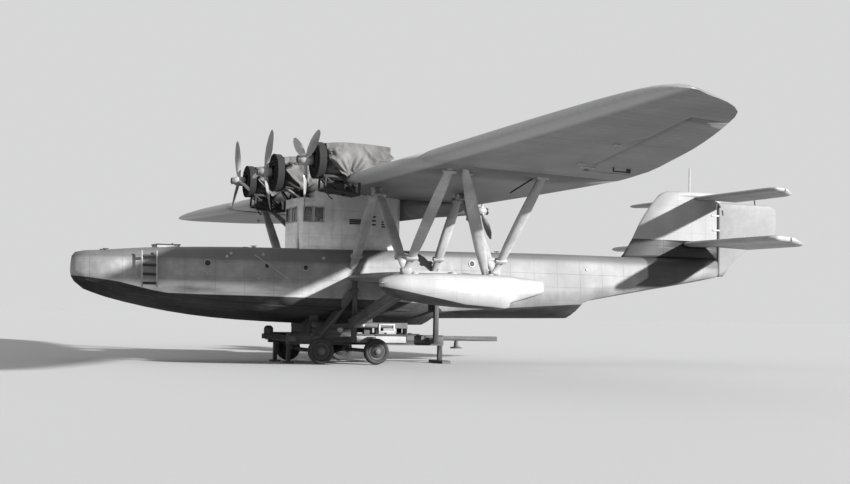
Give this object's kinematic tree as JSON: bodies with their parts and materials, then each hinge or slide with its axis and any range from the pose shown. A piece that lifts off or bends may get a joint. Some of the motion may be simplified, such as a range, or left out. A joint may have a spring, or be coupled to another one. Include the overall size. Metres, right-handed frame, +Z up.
{
  "type": "four-engined parasol-wing flying boat on its beaching trolley, 1:2 scale model",
  "caption": "Half-size flying boat: decked metal hull, cockpit tower under one long wing, struts to side floats, covered engines with propellers, biplane tail, parked on a wheeled trolley.",
  "frame": {"origin": "middle of the whole model's box, on the ground it stands on", "axes": "+X towards the bow, +Y to port along the span, +Z up"},
  "size_m": [13.0002, 21.5, 3.8074],
  "materials": {
    "hull_metal": "satin silver paint on riveted sheet",
    "wing_skin": "matt silver dope over ribs",
    "dark_trim": "matt black paint",
    "glazing": "clear pane",
    "seat_leather": "worn leather",
    "radiator": "dark core and shell",
    "engine_metal": "oily dark casting",
    "canvas": "coarse weathered canvas",
    "blade_metal": "brushed blades",
    "strut_metal": "satin dark grey paint",
    "trolley_steel": "worn dark paint on steel",
    "timber": "weathered plank",
    "wheel_tyre": "matt rubber with a steel disc"
  },
  "bodies": {
    "airframe": {"hull": "hull_metal", "hatch_coaming": "hull_metal", "tower_walls": "hull_metal", "tower_roof": "hull_metal", "tower_glazing": "glazing", "pilot_seats": "seat_leather", "instrument_panel": "dark_trim", "wing_centre": "wing_skin", "wing_outer_left": "wing_skin", "wing_outer_right": "wing_skin", "radiator_centre": "radiator", "engine_centre": "engine_metal", "cover_centre": "canvas", "radiator_left": "radiator", "engine_left": "engine_metal", "cover_left": "canvas", "radiator_right": "radiator", "engine_right": "engine_metal", "cover_right": "canvas", "engine_rear": "wing_skin", "float_left": "hull_metal", "stub_wing_left": "hull_metal", "struts_front_left": "strut_metal", "struts_rear_left": "strut_metal", "strut_diagonal_left": "strut_metal", "float_right": "hull_metal", "stub_wing_right": "hull_metal", "struts_front_right": "strut_metal", "struts_rear_right": "strut_metal", "strut_diagonal_right": "strut_metal", "fin": "hull_metal", "tailplane_lower": "wing_skin", "tailplane_upper": "wing_skin", "aerial_mast": "strut_metal", "boarding_ladder": "strut_metal", "trolley_frame": "trolley_steel", "cradle_front": "timber", "cradle_rear": "timber"},
    "hatch_lid": {"hatch_lid": "dark_trim"},
    "aileron_left": {"aileron_left": "wing_skin"},
    "aileron_right": {"aileron_right": "wing_skin"},
    "rudder": {"rudder": "wing_skin"},
    "elevator_lower_left": {"elevator_lower_left": "wing_skin"},
    "elevator_lower_right": {"elevator_lower_right": "wing_skin"},
    "elevator_upper_left": {"elevator_upper_left": "wing_skin"},
    "elevator_upper_right": {"elevator_upper_right": "wing_skin"},
    "propeller_centre": {"propeller_centre": "blade_metal"},
    "propeller_left": {"propeller_left": "blade_metal"},
    "propeller_right": {"propeller_right": "blade_metal"},
    "propeller_rear": {"propeller_rear": "blade_metal"},
    "wheel_front_left": {"wheel_front_left": "wheel_tyre"},
    "wheel_front_right": {"wheel_front_right": "wheel_tyre"},
    "wheel_rear_left": {"wheel_rear_left": "wheel_tyre"},
    "wheel_rear_right": {"wheel_rear_right": "wheel_tyre"}
  },
  "joints": [
    {"name": "hatch_hinge", "type": "hinge", "parent": "airframe", "child": "hatch_lid", "pos_m": [5.235, 0, 1.816], "axis": [0, 1, 0], "range_deg": [0, 110]},
    {"name": "aileron_left_hinge", "type": "hinge", "parent": "airframe", "child": "aileron_left", "pos_m": [0.63, 5.6, 2.8], "axis": [0.2448, 0.9693, 0.023], "range_deg": [-20, 20]},
    {"name": "aileron_right_hinge", "type": "hinge", "parent": "airframe", "child": "aileron_right", "pos_m": [0.63, -5.6, 2.8], "axis": [-0.2448, 0.9693, -0.023], "range_deg": [-20, 20]},
    {"name": "rudder_hinge", "type": "hinge", "parent": "airframe", "child": "rudder", "pos_m": [-5.23, 0, 2.3], "axis": [0, 0, 1], "range_deg": [-25, 25]},
    {"name": "elevator_hinge", "type": "hinge", "parent": "airframe", "child": "elevator_lower_left", "pos_m": [-5, 1.36, 2.2], "axis": [0, 1, 0], "range_deg": [-16, 34]},
    {"name": "elevator_lower_right_hinge", "type": "hinge", "parent": "airframe", "child": "elevator_lower_right", "pos_m": [-5, -1.36, 2.2], "axis": [0, 1, 0], "range_deg": [-16, 34]},
    {"name": "elevator_upper_left_hinge", "type": "hinge", "parent": "airframe", "child": "elevator_upper_left", "pos_m": [-5.06, 1.24, 3.055], "axis": [0, 1, 0], "range_deg": [-16, 34]},
    {"name": "elevator_upper_right_hinge", "type": "hinge", "parent": "airframe", "child": "elevator_upper_right", "pos_m": [-5.06, -1.24, 3.055], "axis": [0, 1, 0], "range_deg": [-16, 34]},
    {"name": "propeller_centre_spin", "type": "hinge", "parent": "airframe", "child": "propeller_centre", "pos_m": [3.475, 0, 3.06], "axis": [1, 0, 0], "continuous": true},
    {"name": "propeller_left_spin", "type": "hinge", "parent": "airframe", "child": "propeller_left", "pos_m": [3.4, 1.95, 3.08], "axis": [1, 0, 0], "continuous": true},
    {"name": "propeller_right_spin", "type": "hinge", "parent": "airframe", "child": "propeller_right", "pos_m": [3.4, -1.95, 3.08], "axis": [1, 0, 0], "continuous": true},
    {"name": "propeller_rear_spin", "type": "hinge", "parent": "airframe", "child": "propeller_rear", "pos_m": [-0.38, 0, 2.61], "axis": [1, 0, 0], "continuous": true},
    {"name": "wheel_front_left_roll", "type": "hinge", "parent": "airframe", "child": "wheel_front_left", "pos_m": [2.75, 0.89, 0.21], "axis": [0, 1, 0], "continuous": true},
    {"name": "wheel_front_right_roll", "type": "hinge", "parent": "airframe", "child": "wheel_front_right", "pos_m": [2.75, -0.89, 0.21], "axis": [0, 1, 0], "continuous": true},
    {"name": "wheel_rear_left_roll", "type": "hinge", "parent": "airframe", "child": "wheel_rear_left", "pos_m": [1.825, 0.89, 0.21], "axis": [0, 1, 0], "continuous": true},
    {"name": "wheel_rear_right_roll", "type": "hinge", "parent": "airframe", "child": "wheel_rear_right", "pos_m": [1.825, -0.89, 0.21], "axis": [0, 1, 0], "continuous": true}
  ],
  "couplings": [
    {"joint": "aileron_right_hinge", "follows": "aileron_left_hinge", "ratio": -1},
    {"joint": "elevator_lower_right_hinge", "follows": "elevator_hinge", "ratio": 1},
    {"joint": "elevator_upper_left_hinge", "follows": "elevator_hinge", "ratio": 1},
    {"joint": "elevator_upper_right_hinge", "follows": "elevator_hinge", "ratio": 1}
  ]
}
